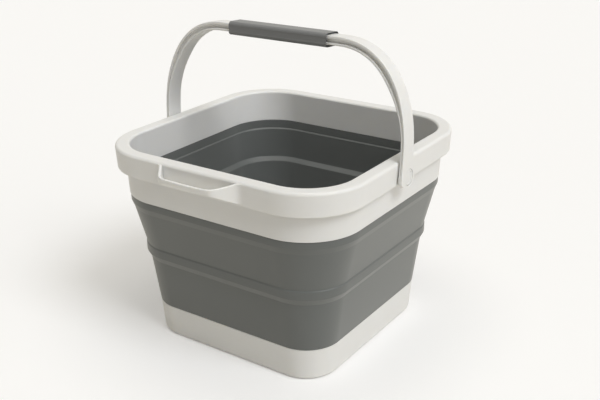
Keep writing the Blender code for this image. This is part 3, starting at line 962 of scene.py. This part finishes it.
@dataclass
class Bail:
    """Arch of I section, deep at the top and flat beside the rim, with an eye at each end."""

    material: bpy.types.Material
    arch: BailArch = field(default_factory=BailArch)
    breadth: float = 17.0 * MM
    leg_breadth: float = 19.2 * MM
    depth: float = 8.4 * MM
    leg_depth: float = 3.6 * MM
    outer_share: float = 0.33
    inner_share: float = 0.26
    groove: float = 3.0 * MM
    leg_groove: float = 0.9 * MM
    swell_start: float = 38.0 * MM
    swell_length: float = 58.0 * MM
    edge: float = 0.75 * MM
    edge_share: float = 0.45
    ease: float = 0.35 * MM
    ease_share: float = 0.4
    eye_radius: float = 10.0 * MM
    eye_proud: float = 0.15 * MM
    foot_proud: float = 0.05 * MM
    foot_sunk: float = 0.1 * MM
    pin_radius: float = 4.35 * MM
    head_radius: float = 8.15 * MM
    head_depth: float = 1.4 * MM
    fineness: int = 150

    def swell(self, along: float) -> float:
        """How far the section has grown from the flat leg to the deep top, from 0 to 1."""
        share = min(max((along - self.swell_start) / self.swell_length, 0.0), 1.0)
        return share * share * (3.0 - 2.0 * share)

    def outline(self, along: float, steps: int = 4) -> list[tuple[float, float]]:
        """The I section at a distance from the pivot, with rounded plate edges.

        Args:
            along: the distance from the nearer pivot.
            steps: the number of steps in a rounded edge.

        Returns:
            The (sideways, outwards) points, with the outer face at zero.
        """
        swell = self.swell(along)
        half = (self.leg_breadth + (self.breadth - self.leg_breadth) * swell) / 2.0
        depth = self.leg_depth + (self.depth - self.leg_depth) * swell
        groove = self.leg_groove + (self.groove - self.leg_groove) * swell
        top = -depth * self.outer_share
        low = -depth * (1.0 - self.inner_share)
        edge = min(self.edge, self.edge_share * depth * self.inner_share)
        ease = min(self.ease, self.ease_share * groove)
        web = half - groove
        side = [
            (web, (top + low) / 2.0), (web, top - ease), (web + ease, top), (half - ease, top),
            (half, top + ease), *quarter_arc(half - edge, -edge, edge, 0, steps),
        ]
        under = [
            *quarter_arc(half - edge, -depth + edge, edge, 3, steps), (half, low - ease),
            (half - ease, low), (web + ease, low), (web, low + ease),
        ]
        outline = side
        outline += [(-across, out) for across, out in reversed(side)]
        outline += [(-across, out) for across, out in reversed(under)]
        return outline + under

    def build(self) -> None:
        """Build the arch, its eyes and their bores, and lean it as it stands."""
        stations = self.arch.stations(self.fineness, self.arch.half + self.arch.rise)
        rings = [self.arch.set_across(station, self.outline(station.along)) for station in stations]
        bail = skin("bail_arch", rings, False)
        inner = self.arch.half - self.leg_depth - self.eye_proud
        outer = self.arch.half + self.eye_proud
        foot = self.leg_breadth / 2.0 + self.foot_proud
        for side in (-1.0, 1.0):
            start = side * inner
            end = side * outer
            past = side * (outer + OVERRUN)
            sunk = side * self.foot_sunk
            floor = side * (outer - self.head_depth)
            carve(bail, disc("foot", foot, start + sunk, end - sunk, -self.arch.ahead, 0.0), "UNION")
            carve(bail, disc("eye", self.eye_radius, start, end, 0.0, 0.0), "UNION")
            before = side * (inner - OVERRUN)
            carve(bail, disc("hole", self.pin_radius, before, past, 0.0, 0.0), "DIFFERENCE")
            carve(bail, disc("sink", self.head_radius, floor, past, 0.0, 0.0), "DIFFERENCE")
        self.arch.stand(bail)
        polish(bail)
        dress(bail, self.material, HARD_PLASTIC, Body.BAIL, "bail")


@dataclass
class GripSleeve:
    """Soft sleeve round the top of the bail, with a ridge between two hollows along each side."""

    material: bpy.types.Material
    arch: BailArch = field(default_factory=BailArch)
    length: float = 113.0 * MM
    breadth: float = 21.4 * MM
    over: float = 2.0 * MM
    height: float = 13.0 * MM
    edge: float = 3.4 * MM
    end_inset: float = 1.5 * MM
    end_length: float = 3.0 * MM
    line_depth: float = 0.35 * MM
    line_half: float = 3.0 * MM
    bail_breadth: float = 17.0 * MM
    bail_depth: float = 8.4 * MM
    bore_gap: float = 0.45 * MM
    bore_edge: float = 0.9 * MM
    bore_share: float = 0.6

    def outline(self, inset: float, steps: int = 8) -> list[tuple[float, float]]:
        """The sleeve's outer section: a rounded box with two shallow hollows along each side.

        Args:
            inset: how far the whole outline is drawn in.
            steps: the number of steps in a corner.

        Returns:
            The (sideways, outwards) points.
        """
        half = self.breadth / 2.0 - inset
        high = self.over - inset
        low = self.over - self.height + inset
        edge = self.edge - inset
        middle = self.over - self.height / 2.0
        hollow = self.line_half / 2.0
        deep = half - self.line_depth
        line = [(half, middle - self.line_half), (deep, middle - hollow), (half, middle),
                (deep, middle + hollow), (half, middle + self.line_half)]
        right = [*line, *quarter_arc(half - edge, high - edge, edge, 0, steps)]
        right = [*quarter_arc(half - edge, low + edge, edge, 3, steps), *right]
        mirrored = [(-across, out) for across, out in reversed(right)]
        return right + mirrored

    def bore(self, steps: int = 3) -> list[tuple[float, float]]:
        """Draw the bore's section: a box round the bail's top, with a gap to it.

        Args:
            steps: the number of steps in a corner.

        Returns:
            The (sideways, outwards) points.
        """
        half = self.bail_breadth / 2.0 + self.bore_gap
        high = self.bore_gap
        low = -self.bail_depth - self.bore_gap
        edge = self.bore_edge
        right = [*quarter_arc(half - edge, low + edge, edge, 3, steps),
                 *quarter_arc(half - edge, high - edge, edge, 0, steps)]
        return right + [(-across, out) for across, out in reversed(right)]

    def build(self, stations: int = 40, end_steps: int = 6) -> None:
        """Build the cover, cut its bore and dress it.

        Args:
            stations: the number of steps along it.
            end_steps: the number of steps in each rounded end.
        """
        places = self.arch.stations(stations, self.length / 2.0)
        rings = []
        for index, place in enumerate(places):
            if index not in (0, stations):
                rings.append(self.arch.set_across(place, self.outline(0.0)))
                continue
            way = 1.0 if index == 0 else -1.0
            ends = []
            for step in range(end_steps + 1):
                angle = math.pi / 2.0 * step / end_steps
                inset = self.end_inset * (1.0 - math.sin(angle))
                back = self.end_length * (1.0 - math.cos(angle)) - self.end_length
                ends.append(self.arch.set_across(place, self.outline(inset), way * back))
            rings += ends if index == 0 else ends[::-1]
        sleeve = skin("grip_cover", rings, False)
        past = self.length * self.bore_share
        hole = [self.arch.set_across(place, self.bore()) for place in self.arch.stations(stations, past)]
        carve(sleeve, skin("grip_bore", hole, False), "DIFFERENCE")
        self.arch.stand(sleeve)
        polish(sleeve)
        dress(sleeve, self.material, SOFT_GRIP, Body.BAIL, "grip_sleeve")


@dataclass
class PivotPins:
    """The two headed pins: a raised ring round a dished head, and a chamfered shank."""

    material: bpy.types.Material
    face: float = 142.7 * MM
    tip: float = 130.2 * MM
    head_radius: float = 7.8 * MM
    head_height: float = 1.1 * MM
    ring: float = 1.8 * MM
    dish: float = 0.5 * MM
    radius: float = 4.0 * MM
    chamfer: float = 0.8 * MM
    ease: float = 0.25 * MM
    pivot_y: float = -8.0 * MM
    pivot_z: float = 190.6 * MM
    steps: int = 72

    def profile(self) -> list[tuple[float, float]]:
        """Draw the pin's profile.

        Returns:
            Its (radius, place along X) points, from the head's middle to the shank's tip.
        """
        ease = self.ease
        return [
            (0.0, self.face - self.dish),
            (self.head_radius - self.ring - self.dish, self.face - self.dish),
            (self.head_radius - self.ring - ease, self.face - ease / 2.0),
            (self.head_radius - self.ring, self.face),
            (self.head_radius - self.dish, self.face),
            (self.head_radius - self.dish / 3.0, self.face - self.dish / 3.0),
            (self.head_radius, self.face - self.dish),
            (self.head_radius, self.face - self.head_height),
            (self.radius, self.face - self.head_height),
            (self.radius, self.tip + self.chamfer),
            (self.radius - self.chamfer, self.tip),
            (0.0, self.tip),
        ]

    def build(self) -> None:
        """Turn both pins and dress them."""
        for name, side in (("left", -1.0), ("right", 1.0)):
            bm = bmesh.new()
            points = [bm.verts.new((side * place, self.pivot_y + radius, self.pivot_z))
                      for radius, place in self.profile()]
            edges = [bm.edges.new(pair) for pair in zip(points, points[1:])]
            middle = (0.0, self.pivot_y, self.pivot_z)
            bmesh.ops.spin(bm, geom=points + edges, cent=middle, axis=(1.0, 0.0, 0.0),
                           angle=2.0 * math.pi, steps=self.steps, use_merge=True, use_duplicate=False)
            bmesh.ops.remove_doubles(bm, verts=bm.verts, dist=WELD)
            pin = from_bmesh(f"pin_{name}", bm)
            polish(pin)
            dress(pin, self.material, HARD_PLASTIC, Body.RIM, f"pivot_pin_{name}")


@dataclass(frozen=True)
class Sun:
    """A distant soft lamp: bearing from +X, height and filled angle in degrees, strength, colour."""

    name: str
    bearing: float
    height: float
    angle: float
    strength: float
    colour: tuple[float, float, float]

    def hang(self) -> None:
        """Make the lamp and aim it."""
        light = bpy.data.lights.new(self.name, "SUN")
        light.energy = self.strength
        light.angle = math.radians(self.angle)
        light.color = self.colour
        lamp = bpy.data.objects.new(self.name, light)
        bpy.context.scene.collection.objects.link(lamp)
        turn = math.radians(self.bearing)
        lift = math.radians(self.height)
        way = Vector((math.cos(turn) * math.cos(lift), math.sin(turn) * math.cos(lift), math.sin(lift)))
        lamp.rotation_euler = way.to_track_quat("Z", "Y").to_euler()


@dataclass
class Studio:
    """Pale floor, soft light from the right, and the camera at the photograph's angle."""

    focal_pixels: float = 881.5
    azimuth: float = 35.29
    elevation: float = 24.09
    roll: float = -0.868
    distance: float = 0.930
    target_z: float = 0.1
    centre_x: float = -12.02
    centre_y: float = 29.42
    floor_size: float = 12.0
    floor_colour: tuple[float, float, float] = (0.87, 0.847, 0.795)
    seen_floor_colour: tuple[float, float, float] = (0.98, 0.98, 0.982)
    floor_glow: float = 0.19
    floor_glow_colour: tuple[float, float, float] = (1.0, 0.99, 0.975)
    floor_roughness: float = 0.9
    floor_specular: float = 0.1
    key: Sun = Sun("key", -10.4, 49.1, 24.8, 1.38, (0.95, 0.967, 1.0))
    side: Sun = Sun("side", 0.0, 18.0, 50.0, 0.58, (0.99, 0.992, 0.99))
    above: Sun = Sun("above", 0.0, 89.0, 60.0, 1.32, (1.0, 0.965, 0.88))
    sky: float = 0.166
    backdrop: float = 0.94
    sky_colour: tuple[float, float, float] = (1.0, 0.965, 0.895)
    clip_start: float = 10.0 * MM

    def camera(self) -> None:
        """Place the camera."""
        turn = math.radians(self.azimuth)
        lift = math.radians(self.elevation)
        back = Vector((math.sin(turn) * math.cos(lift), -math.cos(turn) * math.cos(lift), math.sin(lift)))
        level = Vector((math.cos(turn), math.sin(turn), 0.0))
        up = back.cross(level)
        roll = math.radians(self.roll)
        right = level * math.cos(roll) + up * math.sin(roll)
        top = up * math.cos(roll) - level * math.sin(roll)
        lens = bpy.data.cameras.new("camera")
        lens.sensor_width = SENSOR_WIDTH
        lens.lens = self.focal_pixels / IMAGE_WIDTH * SENSOR_WIDTH
        lens.shift_x = -self.centre_x / IMAGE_WIDTH
        lens.shift_y = self.centre_y / IMAGE_WIDTH
        lens.clip_start = self.clip_start
        viewer = bpy.data.objects.new("camera", lens)
        bpy.context.scene.collection.objects.link(viewer)
        place = Vector((0.0, 0.0, self.target_z)) + back * self.distance
        matrix = Matrix((right, top, back)).transposed().to_4x4()
        viewer.matrix_world = Matrix.Translation(place) @ matrix
        bpy.context.scene.camera = viewer

    def floor(self) -> None:
        """Lay the floor, whose unshaded part shows as the pale background."""
        bm = bmesh.new()
        bmesh.ops.create_grid(bm, x_segments=1, y_segments=1, size=self.floor_size / 2.0)
        ground = from_bmesh("floor", bm)
        material = bpy.data.materials.new("pale_floor")
        recipe = Recipe(material, "Principled BSDF")
        camera_ray = recipe.node("ShaderNodeLightPath", {}, {}, "Is Camera Ray")
        recipe.feed(recipe.shader.inputs["Base Color"],
                    recipe.tint(camera_ray, self.floor_colour, self.seen_floor_colour))
        recipe.feed(recipe.shader.inputs["Roughness"], self.floor_roughness)
        recipe.shader.inputs["Specular IOR Level"].default_value = self.floor_specular
        glow = recipe.node("ShaderNodeEmission", {}, {"Color": (*self.floor_glow_colour, 1.0)}, "Emission")
        base = Signal(recipe, recipe.shader.outputs["BSDF"])
        inputs = {0: camera_ray * self.floor_glow, 1: base, 2: glow}
        mixed = recipe.node("ShaderNodeMixShader", {}, inputs, "Shader")
        recipe.finish(mixed)
        ground.data.materials.append(material)

    def world(self) -> None:
        """Dim even light, where the camera and glossy reflections see a pale backdrop instead."""
        world = bpy.data.worlds.new("studio")
        bpy.context.scene.world = world
        recipe = Recipe(world, "Background")
        camera_ray = recipe.node("ShaderNodeLightPath", {}, {}, "Is Camera Ray")
        glossy_ray = recipe.node("ShaderNodeLightPath", {}, {}, "Is Glossy Ray")
        level = camera_ray.or_more(glossy_ray) * (self.backdrop - self.sky) + self.sky
        recipe.feed(recipe.shader.inputs["Strength"], level)
        recipe.feed(recipe.shader.inputs["Color"], (*self.sky_colour, 1.0))

    def build(self) -> None:
        """Set up the studio."""
        self.camera()
        self.floor()
        self.world()
        for sun in (self.key, self.side, self.above):
            sun.hang()
        bpy.context.scene.view_settings.view_transform = "Standard"
        LOG.info("studio is set")


def main() -> None:
    """Build the bucket's pieces in order, and the studio."""
    logging.basicConfig(level=logging.INFO, format="%(name)s: %(message)s")
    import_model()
    hard = HARD_PLASTIC.make()
    soft = SOFT_WALL.make()
    grip = SOFT_GRIP.make()
    BasePan(hard).build()
    FoldingWall(soft).build()
    RimFrame(hard).build()
    Bail(hard).build()
    GripSleeve(grip).build()
    PivotPins(hard).build()
    Studio().build()


if __name__ == "__main__":
    main()
